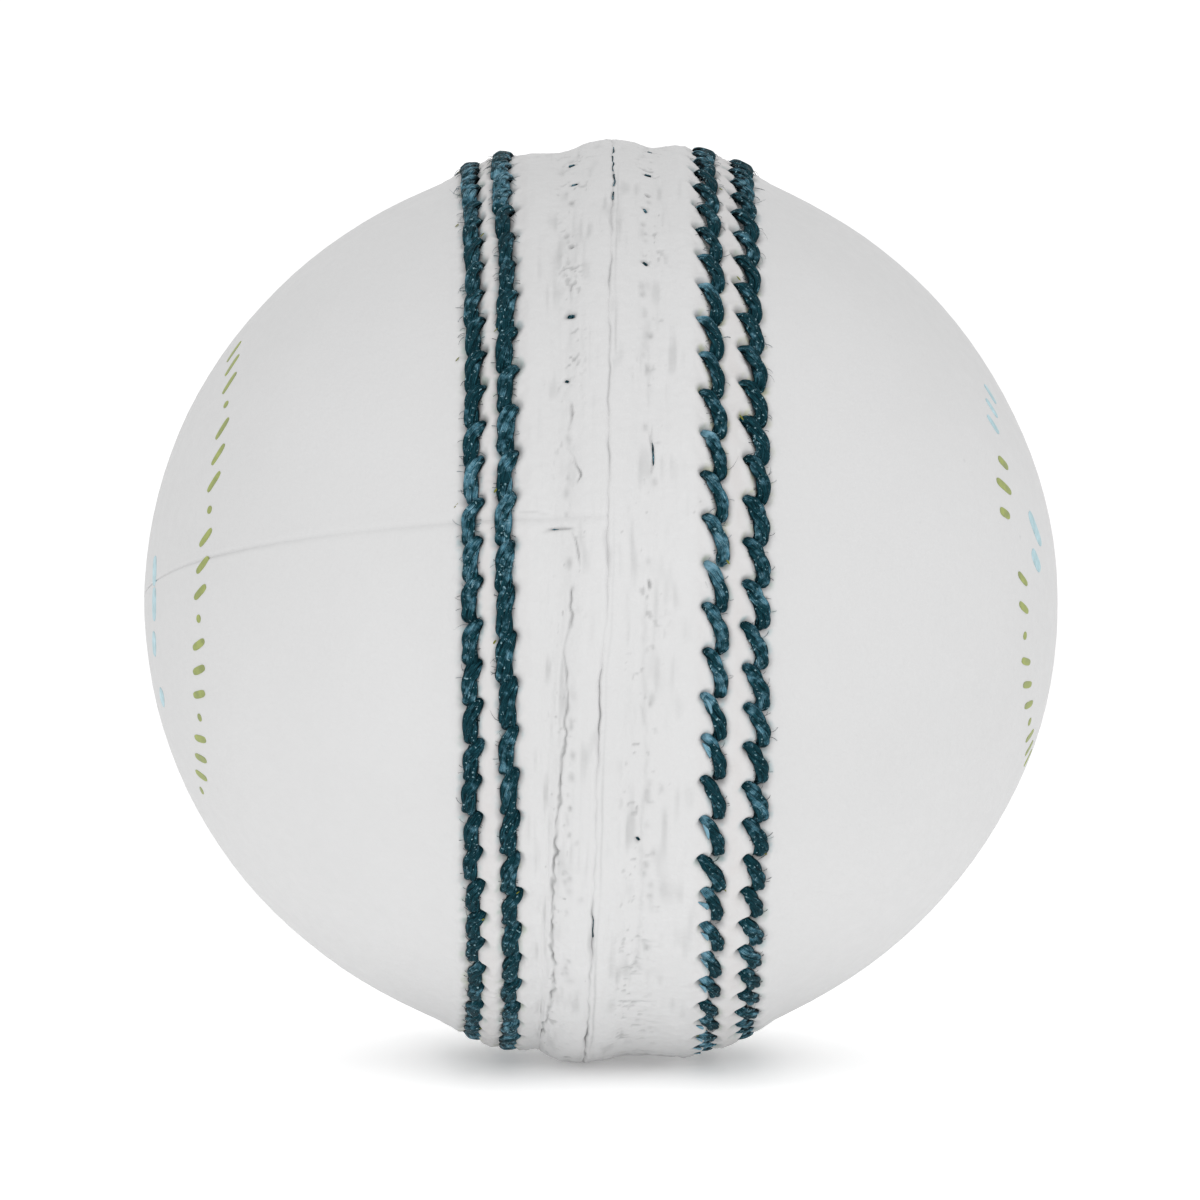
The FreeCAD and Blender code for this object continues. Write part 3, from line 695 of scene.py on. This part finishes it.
def plain_fibre_material(name, low, high, scale, rough):
    mat, tree, shader = material(name)
    place = object_place(tree)
    fluff = cloud(tree, place, scale, 5.0)
    inputs = {"Vector": place, "Scale": scale * 0.6, "Distortion": 3.0, "Detail": 2.0}
    wave = node(tree, "ShaderNodeTexWave", inputs).outputs["Fac"]
    tree.links.new(ramp(tree, fluff, [(0.3, low), (0.7, high)]), shader.inputs["Base Color"])
    shader.inputs["Roughness"].default_value = rough
    bump_chain(tree, shader, (fluff, 0.0002, 0.6), (wave, 0.0002, 0.5))
    return mat


LEATHER = leather_material()
THREAD = thread_material()
OLIVE_FOIL = foil_material("olive_foil", (0.20, 0.24, 0.06, 1), (0.33, 0.38, 0.10, 1))
PALE_FOIL = foil_material("pale_blue_foil", (0.30, 0.46, 0.50, 1), (0.48, 0.66, 0.72, 1))
YARN = yarn_material()
CORK = cork_material()
RUBBER = plain_fibre_material(
    "cork_rubber", (0.05, 0.025, 0.015, 1), (0.22, 0.12, 0.07, 1), 900.0, 0.75)
LINEN = plain_fibre_material(
    "linen_thread", (0.42, 0.38, 0.30, 1), (0.70, 0.66, 0.58, 1), 2600.0, 0.8)
LINING = plain_fibre_material(
    "split_leather", (0.36, 0.27, 0.18, 1), (0.60, 0.48, 0.35, 1), 1300.0, 0.85)

# ------------------------------------------------------------------ cover quarters

STEPS = 660  # round half the ball
INNER = 8  # over the inner face, from pole to rim
QUARTERS = [
    ("cover_left_upper", -1, LEFT_JOINT),
    ("cover_left_lower", -1, LEFT_JOINT + 180),
    ("cover_right_rear", 1, RIGHT_JOINT),
    ("cover_right_front", 1, RIGHT_JOINT + 180),
]
TABLES = {side: column_table(side) for side in (-1, 1)}


def quarter_piece(name, side, first):
    """One leather quarter: its outer surface, its inner face and the edges that close it."""
    grid, dirt_and_shade, dye, web = cover_grid(side, first, STEPS, TABLES[side])
    rows, cols = grid.shape[:2]
    angle = first + np.linspace(0, 180, rows)[:, None]
    tilt = np.linspace(math.pi / 2, 0, INNER + 1)[None, 1:]
    low = round_axis(side * INSIDE * np.sin(tilt), INSIDE * np.cos(tilt), np.radians(angle))
    at_rim = tilt < 0.01
    low[..., 0] += seam_shift(np.abs(low[..., 0]), angle) * at_rim
    pole_out = [side * (CAP_SHIFT + CAP_RADIUS), 0, 0]
    pole_in = [side * INSIDE, 0, 0]
    inner_cols = low.shape[1]
    points = np.concatenate([grid.reshape(-1, 3), low.reshape(-1, 3), [pole_out, pole_in]])
    hidden = np.zeros(rows * inner_cols + 2)
    marks = [(key, np.concatenate([values.ravel(), hidden]))
             for key, values in (("dirt_and_shade", dirt_and_shade), ("dye", dye), ("web", web))]
    base = rows * cols
    top_pole, low_pole = base + rows * inner_cols, base + rows * inner_cols + 1
    faces = []
    for i in range(rows - 1):
        a, b = i * cols, (i + 1) * cols
        faces += [(a + j, b + j, b + j + 1, a + j + 1) for j in range(cols - 1)]
        faces.append((a + cols - 1, b + cols - 1, top_pole))
        c, d = base + i * inner_cols, base + (i + 1) * inner_cols
        faces.append((low_pole, d, c))
        faces += [(c + j, d + j, d + j + 1, c + j + 1) for j in range(inner_cols - 1)]
        faces.append((c + inner_cols - 1, d + inner_cols - 1, b, a))
    for i, flip in ((0, False), (rows - 1, True)):
        loop = list(range(i * cols, (i + 1) * cols)) + [top_pole, low_pole]
        loop += list(range(base + i * inner_cols, base + (i + 1) * inner_cols))
        faces.append(tuple(reversed(loop)) if flip else tuple(loop))
    if side == 1:
        faces = [tuple(reversed(face)) for face in faces]
    piece_name = name.replace("cover_", "leather_")
    declare(new_mesh(piece_name, points, faces, marks, sharp=50), "cover_leather", LEATHER, name)


for name, side, first in QUARTERS:
    quarter_piece(name, side, first)

# ------------------------------------------------------------------ stitches

TAPER = 0.35  # size of a strand's ends against its middle


class Strands:
    """Collects round strands into one mesh, with their wear and painted sheen and their run
    recorded per point.
    """

    def __init__(self):
        self.points, self.faces, self.total = [], [], 0
        self.layers = {layer: [] for layer in THREAD_LAYERS}

    def add(self, path, side_way, up_way, wide, high, worn=0.0, olive=0.0, sides=8, seed=0.0):
        n = len(path)
        wide = np.broadcast_to(wide, n).astype(float).copy()
        high = np.broadcast_to(high, n).astype(float).copy()
        for end in (0, -1):
            wide[end] *= TAPER
            high[end] *= TAPER
        a = np.linspace(0, 2 * math.pi, sides, endpoint=False)
        ring = (path[:, None, :] + side_way[:, None, :] * (wide[:, None] * np.cos(a))[..., None]
                + up_way[:, None, :] * (high[:, None] * np.sin(a))[..., None])
        self.points.append(ring.reshape(-1, 3))
        base = self.total
        for i in range(n - 1):
            for j in range(sides):
                k = (j + 1) % sides
                self.faces.append((base + i * sides + j, base + i * sides + k,
                                   base + (i + 1) * sides + k, base + (i + 1) * sides + j))
        self.faces.append(tuple(base + j for j in reversed(range(sides))))
        self.faces.append(tuple(base + (n - 1) * sides + j for j in range(sides)))
        length = np.concatenate([[0], np.cumsum(np.linalg.norm(np.diff(path, axis=0), axis=1))])
        values = {
            "worn": np.broadcast_to(np.reshape(worn, (-1, 1)), (n, sides)).ravel(),
            "olive": np.full(n * sides, olive),
            "strand": np.repeat(length * 0.10 + seed, sides),
            "around": np.tile(np.cos(a) * 0.8 + np.sin(2 * a) * 0.3, n) + seed,
            "top": np.tile(np.sin(a), n),
        }
        for layer, value in values.items():
            self.layers[layer].append(value)
        self.total += n * sides

    def piece(self, name, slot, mat, *nodes):
        attributes = [(layer, np.concatenate(values)) for layer, values in self.layers.items()]
        made = new_mesh(name, np.concatenate(self.points), self.faces, attributes)
        declare(made, slot, mat, *nodes)


def band_place(side, across, angle, height):
    """Point over the cover, with its sideways, forward and outward directions."""
    step = 0.3
    reach = section(side, across)
    slope = (section(side, across + step) - section(side, across - step)) / (2 * step) * 0.7
    length = np.hypot(slope, 1)
    nx, nr = -slope / length, 1 / length
    turn = np.radians(angle)
    x = side * (across + nx * height) + seam_shift(across, angle)
    r = reach + nr * height
    along = np.stack([np.zeros_like(turn), -np.sin(turn), np.cos(turn)], axis=-1)
    return round_axis(x, r, turn), along, round_axis(side * nx, nr, turn)


def unit(v):
    return v / np.maximum(np.linalg.norm(v, axis=-1, keepdims=True), 1e-9)


def wear_and_sheen_of(row_name, angle, roll):
    """How pale a stitch is: real wear, the front left rows the palest, plus painted sheen where the
    rows pass over the top and bottom of the ball.
    """
    a = angle % 360
    if row_name.startswith("left"):
        spots = [(0.70, 166, 13), (0.62, 104, 13), (0.75, 262, 16)]
    elif row_name == "right_middle":
        spots = [(0.40, 170, 16), (0.70, 98, 12), (0.65, 258, 14)]
    else:
        spots = [(0.30, 172, 20), (0.35, 100, 12), (0.60, 260, 14)]
    level = 0.10 + sum(peak * math.exp(-((a - place) / width) ** 2) for peak, place, width in spots)
    level += 0.25 * math.exp(-((a - 20) / 50) ** 2)
    return level * (0.45 + 0.9 * roll)


STITCH_TOP = {-1: -0.12, 1: -0.10}  # height of the thread's middle over the leather
HOLE_DEPTH = 1.1  # how far below the leather a stitch starts and ends
PLIES = 4
HAIRS = 7  # on each stitch
# Angles where the seam side of the right middle row is frayed.
FRAYED = [98, 126, 132, 137, 143, 153, 169, 174, 185.5, 191, 202, 213, 218, 224, 229, 234, 240, 246,
          252, 257]


def sew(row_name, letter):
    """Every second stitch of a row, which is all that one of its two threads makes."""
    row = ROWS[row_name]
    side, count = row["side"], row["count"]
    pitch = 360 / count
    strands = Strands()
    dice = np.random.default_rng(row["seed"] * 10 + ord(letter))
    t = np.linspace(-0.12, 1.20, 26)
    for k in range(ord(letter) - ord("a"), count, 2):
        first = row["joint"] + (k + 0.5) * pitch
        angle = first + (t - row["step_jitter"][k]) * pitch
        across = row_across(row, angle) + stitch_sway(row, k, t)
        rise = smooth((t + 0.14) / 0.24)
        fall = 1 - smooth((t - 0.84) / 0.30)
        top = STITCH_TOP[side] + row["lift"][k] + 0.16 * np.sin(np.pi * np.clip(t, 0, 1))
        height = -HOLE_DEPTH + (HOLE_DEPTH + top) * np.minimum(rise, fall)
        path, along, out = band_place(side, across, angle, height)
        heading = unit(np.gradient(path, axis=0))
        sideways = unit(np.cross(heading, out))
        upward = unit(np.cross(sideways, heading))
        thick = row["thick"][k]
        wear_and_sheen_here = wear_and_sheen_of(row_name, first, row["worn"][k])
        turns = (0.62 if side == 1 else 0.42) + dice.normal(0, 0.04)
        nearest = min(abs(first % 360 - place) for place in FRAYED)
        frayed = row_name == "right_middle" and nearest < 0.5 * pitch
        bleach = frayed * 1.5 * (1 - smooth((t + 0.02) / 0.26))
        for p in range(PLIES):
            a = row["phase"][k] + 2 * math.pi * (turns * t * side + p / PLIES)
            spread_w = 0.36 * thick * (0.6 + 0.4 * smooth((t + 0.06) / 0.25)) * np.cos(a)
            spread_h = 0.19 * thick * np.sin(a)
            ply = path + sideways * spread_w[:, None] + upward * spread_h[:, None]
            worn = wear_and_sheen_here + 0.25 * dice.uniform(-1, 1) + 0.15 * np.sin(3 * t + p) + bleach
            strands.add(ply, sideways, upward, 0.315 * thick, 0.25 * thick, worn=worn,
                        seed=dice.uniform(0, 50), sides=9)
        for _ in range(HAIRS):
            add_fibre(strands, dice, path, sideways, upward, heading, wear_and_sheen_here)
        if dice.uniform() < 0.16:
            add_olive(strands, dice, side, row, first)
        if frayed and first % 360 > 183:
            add_flake(strands, dice, row, first)
    strands.piece(f"stitches_{row_name}_{letter}", "row_thread", THREAD,
                  f"row_thread_{row_name}_{letter}")


def add_fibre(strands, dice, path, sideways, upward, heading, wear_and_sheen_here):
    """A loose hair that leaves the thread and bends down to the leather."""
    i = int(dice.integers(3, len(path) - 3))
    way = dice.choice([-1, 1])
    length = dice.uniform(0.35, 0.95)
    s = np.linspace(0, 1, 5)[:, None]
    drift = dice.normal(0, 0.5)
    start = path[i] + sideways[i] * way * 0.48
    curve = start + sideways[i] * way * length * s + heading[i] * drift * length * s ** 2
    curve = curve + upward[i] * (0.25 * s * (1 - s) * 2 - 0.30 * s ** 2)
    radius = dice.uniform(0.012, 0.026)
    frame_side = np.repeat(heading[i][None], 5, axis=0)
    frame_up = np.repeat(upward[i][None], 5, axis=0)
    strands.add(curve, frame_side, frame_up, radius, radius,
                worn=wear_and_sheen_here + dice.uniform(0.0, 0.5), sides=3)


def add_olive(strands, dice, side, row, first):
    """A stain of yellow-green wax beside an awl hole."""
    way = dice.choice([-1, 1])
    across = row["across"] + way * dice.uniform(0.75, 1.0) + np.linspace(-0.15, 0.15, 4)
    angle = first + np.linspace(-0.25, 0.25, 4) + dice.normal(0, 0.3)
    point, along, out = band_place(side, across, angle, np.full(4, 0.05))
    strands.add(point, along, out, dice.uniform(0.06, 0.13), 0.03, olive=0.9, worn=0.2, sides=6)


def add_flake(strands, dice, row, first):
    """A pale frayed tip beside the inner hole of a stitch."""
    s = np.linspace(0, 1, 7)
    angle = first + 1.7 - (1.4 + dice.normal(0, 0.3)) * s
    across = row_across(row, angle) - 0.40 - dice.uniform(0.45, 0.80) * s
    height = 0.34 - 0.24 * s
    point, along, out = band_place(row["side"], across, angle, height)
    wide = 0.55 * (1 - s * 0.85) * dice.uniform(0.7, 1.2)
    strands.add(point, along, out, wide, 0.12 * (1 - 0.5 * s), worn=2.0, seed=dice.uniform(0, 50))


for row_name in ROWS:
    for letter in "ab":
        sew(row_name, letter)

# ------------------------------------------------------------------ closing threads


CLOSING_ACROSS = 3.05
NICK_SHARE = 0.62  # how much of a nick's half length shows thread


def close_seam(letter):
    """Thread buried under both valleys, seen only where a nick opens over it."""
    strands = Strands()
    offset = ord(letter) - ord("a")
    step = 360 / CLOSING
    for side in (-1, 1):
        for k in range(offset if side < 0 else 1 - offset, CLOSING, 2):
            t = np.linspace(0, 1, 12)
            angle = LEFT_JOINT + (k + 0.5 + t) * step
            dip = -0.62 - 0.35 * (1 - smooth(t / 0.15) * smooth((1 - t) / 0.15))
            path, along, out = band_place(side, np.full(12, CLOSING_ACROSS), angle, dip)
            lay_plies(strands, path, unit(np.cross(along, out)), out, 0.17, 0.4)
    for place, offset_x, half_long, half_wide, slant, deep, shows in NICKS[offset::2]:
        if not shows:
            continue
        side = 1 if offset_x > 0 else -1
        run = np.linspace(-NICK_SHARE, NICK_SHARE, 9) * half_long
        lean = math.radians(slant)
        angle = place + run * math.cos(lean) / RIDGE_DEGREE
        x = offset_x + run * math.sin(lean)
        across = side * (x - crest_wander(angle) * near_crest(abs(offset_x)))
        sag = -deep - 0.04 + 0.03 * np.cos(run / half_long * 1.5)
        path, along, out = band_place(side, across, angle, sag)
        heading = unit(np.gradient(path, axis=0))
        lay_plies(strands, path, unit(np.cross(heading, out)), out, half_wide * 0.55, 0.55)
    if letter == "a":
        for start, end in ((99, 102.5), (104, 110), (111, 114.5), (116, 118), (217, 221)):
            angle = np.linspace(start, end, 20)
            dip = -0.10 + 0.03 * np.sin(2 * angle)
            path, along, out = band_place(1, np.full(20, 0.03), angle, dip)
            lay_plies(strands, path, unit(np.cross(along, out)), out, 0.04, 0.5)
    strands.piece(f"closing_stitches_{letter}", "closing_thread", THREAD,
                  f"closing_thread_{letter}")


def lay_plies(strands, path, sideways, out, radius, worn):
    """Two plies twisted round each other along a path."""
    t = np.linspace(0, 1, len(path))
    for ply in range(2):
        a = 2 * math.pi * (1.5 * t + ply / 2)
        beside, above = radius * 0.6 * np.cos(a), radius * 0.4 * np.sin(a)
        line = path + sideways * beside[:, None] + out * above[:, None]
        strands.add(line, sideways, out, radius, radius * 0.85, worn=worn, sides=7, seed=9.0 * ply)


for letter in "ab":
    close_seam(letter)

# ------------------------------------------------------------------ foil marks


def cap_place(side, across, angle, height):
    """Point over the rounded cap, where the leather has no band or stitches."""
    lean = np.arcsin(np.clip((across - CAP_SHIFT) / CAP_RADIUS, -1, 1))
    turn = np.radians(angle)
    reach = CAP_RADIUS * np.cos(lean)
    lift = cap_lift(round_axis(side * across, reach, turn)) + height
    x = side * (across + np.sin(lean) * lift) + seam_shift(across, angle)
    return round_axis(x, reach + np.cos(lean) * lift, turn)


class Foil:
    """Thin stamped shapes that lie on the leather."""

    RIM = 32  # points round each shape

    def __init__(self):
        self.points, self.faces, self.total = [], [], 0

    def stamp(self, side, angle, across, half_long, half_wide, slant=0.0, square=3.0):
        """Rounded bar: `half_long` runs round the pole before it is turned by the slant."""
        around = np.linspace(0, 2 * math.pi, self.RIM, endpoint=False)
        rim = (np.abs(np.cos(around)) ** square + np.abs(np.sin(around)) ** square) ** (-1 / square)
        rings = np.array([0.0, 0.35, 0.7, 1.0, 1.0])
        level = np.array([0.03, 0.03, 0.03, 0.03, -0.05])
        u = rings[:, None] * rim * np.cos(around) * half_long
        v = rings[:, None] * rim * np.sin(around) * half_wide
        lean = math.radians(slant)
        along = u * math.cos(lean) - v * math.sin(lean)
        beside = u * math.sin(lean) + v * math.cos(lean)
        middle_tilt = math.asin((across - CAP_SHIFT) / CAP_RADIUS)
        place = CAP_SHIFT + CAP_RADIUS * np.sin(middle_tilt + beside / CAP_RADIUS)
        turned = angle + np.degrees(along / (CAP_RADIUS * math.cos(middle_tilt)))
        height = np.broadcast_to(level[:, None], u.shape)
        self.points.append(cap_place(side, place, turned, height).reshape(-1, 3))
        for i in range(1, len(rings) - 1):
            low, high = self.total + i * self.RIM, self.total + (i + 1) * self.RIM
            for j in range(self.RIM):
                k = (j + 1) % self.RIM
                quad = [low + j, high + j, high + k, low + k]
                self.faces.append(quad if side < 0 else quad[::-1])
        middle = [self.total + self.RIM + j for j in range(self.RIM)]
        self.faces.append(middle if side > 0 else middle[::-1])
        self.total += len(rings) * self.RIM

    def piece(self, name, mat):
        made = new_mesh(name, np.concatenate(self.points), self.faces, sharp=40)
        declare(made, "cover_leather", mat)


def stamp_marks():
    """Plain slanted strokes, bars and dots where such a ball carries its printing."""
    olive, pale = Foil(), Foil()
    for index, angle in enumerate(np.arange(108, 238, 6.6)):
        across = 28.9 + 2.3 * smooth((angle - 105) / 80)
        if index % 4 == 3:
            olive.stamp(-1, angle, across, 0.32, 0.32, square=2.0)
        else:
            olive.stamp(-1, angle, across, 1.0, 0.30, 62)
    for angle, across, half_long in (
            (160, 34.9, 1.2), (178, 34.9, 1.3), (200, 34.9, 1.0), (222, 34.3, 0.8)):
        pale.stamp(-1, angle, across, half_long, 0.6)
    for angle in (118, 124, 130):
        pale.stamp(1, angle, 30.3, 0.9, 0.32, 70)
    for angle, half_long in ((139.5, 0.8), (146.5, 1.2), (154, 0.8)):
        olive.stamp(1, angle, 31.0, half_long, 0.36, 90)
    for angle, half_long in ((150, 1.6), (162, 1.1)):
        pale.stamp(1, angle, 33.6, half_long, 0.55, 60)
    for index, angle in enumerate(np.arange(170, 250, 8.4)):
        across = 32.4 + 0.9 * smooth((angle - 168) / 70)
        if index % 4 == 2:
            olive.stamp(1, angle, across, 0.32, 0.32, square=2.0)
        else:
            olive.stamp(1, angle, across, 0.95, 0.28, 66)
    olive.piece("foil_marks_olive", OLIVE_FOIL)
    pale.piece("foil_marks_pale", PALE_FOIL)


stamp_marks()

# ------------------------------------------------------------------ inside pieces

for nodes, mat in (
    (("yarn_winding_inner", "yarn_winding_middle", "yarn_winding_outer"), YARN),
    (("cork_strips_inner", "cork_strips_outer"), CORK),
    (("core_nucleus",), RUBBER),
    (("quarter_seam_thread_left", "quarter_seam_thread_right"), LINEN),
    (("lining_tape_left", "lining_tape_right"), LINING),
):
    for name in nodes:
        piece = bpy.data.objects[name]
        piece.data.materials.clear()
        piece.data.materials.append(mat)

# ------------------------------------------------------------------ floor, light and camera

FLOOR_HALF = 3.0
floor_z = cad_box[0][2] - 0.0001
corners = [(x * FLOOR_HALF, y * FLOOR_HALF, floor_z)
           for x, y in ((-1, -1), (1, -1), (1, 1), (-1, 1))]
floor_mesh = bpy.data.meshes.new("floor")
floor_mesh.from_pydata(corners, [], [(0, 1, 2, 3)])
floor = bpy.data.objects.new("floor", floor_mesh)
bpy.context.scene.collection.objects.link(floor)
floor_mat, floor_tree, floor_shader = material("pale_floor")
floor_shader.inputs["Base Color"].default_value = grey(0.88)
floor_shader.inputs["Roughness"].default_value = 1.0
floor_shader.inputs["Specular IOR Level"].default_value = 0.0
# The floor glows softly, with a painted shadow: its glow is dim right under the ball and brightest
# in a ring round it, so the dark stays close to where the ball rests.
inputs = {"Vector": object_place(floor_tree), "Scale": (0.75, 1, 1)}
squeezed = node(floor_tree, "ShaderNodeMapping", inputs).outputs["Vector"]
reach = node(floor_tree, "ShaderNodeVectorMath", {0: squeezed}, operation="LENGTH").outputs["Value"]
painted_shadow_glow = ramp(floor_tree, reach, [
    (0.0366, grey(0.14)), (0.0374, grey(0.25)), (0.041, grey(0.37)), (0.046, grey(0.42)),
    (0.1, grey(0.22))])
floor_tree.links.new(painted_shadow_glow, floor_shader.inputs["Emission Color"])
floor_shader.inputs["Emission Strength"].default_value = 1.0
floor.data.materials.append(floor_mat)

world = bpy.data.worlds.new("studio")
bpy.context.scene.world = world
world.use_nodes = True
sky_tree = world.node_tree
toward = node(sky_tree, "ShaderNodeTexCoord").outputs["Generated"]
height = node(sky_tree, "ShaderNodeSeparateXYZ", {"Vector": toward}).outputs["Z"]
sky = ramp(sky_tree, height, [
    (0.0, grey(1.1)), (0.15, grey(1.1)), (0.45, grey(0.93)), (1.0, grey(0.92))])
sky_tree.links.new(sky, sky_tree.nodes["Background"].inputs["Color"])
sky_tree.nodes["Background"].inputs["Strength"].default_value = 1.0


def lamp(name, place, energy, width):
    data = bpy.data.lights.new(name, "AREA")
    data.energy = energy
    data.size = width
    item = bpy.data.objects.new(name, data)
    item.location = place
    item.rotation_euler = (-Vector(place)).to_track_quat("-Z", "Y").to_euler()
    bpy.context.scene.collection.objects.link(item)


lamp("key", (0.03, -0.85, 0.16), 1.45, 0.35)

AIM = -0.00014  # metres along X
DISTANCE = 0.69  # metres
YAW = math.radians(0.75)
PITCH = math.radians(4.0)
camera_data = bpy.data.cameras.new("camera")
camera_data.lens = 263.0
camera_data.sensor_width = 36.0
camera = bpy.data.objects.new("camera", camera_data)
away = Vector((-math.sin(YAW) * math.cos(PITCH), -math.cos(YAW) * math.cos(PITCH), math.sin(PITCH)))
camera.location = Vector((AIM, 0, 0)) + away * DISTANCE
camera.rotation_euler = (-away).to_track_quat("-Z", "Y").to_euler()
bpy.context.scene.collection.objects.link(camera)
bpy.context.scene.camera = camera
bpy.context.scene.view_settings.view_transform = "Standard"
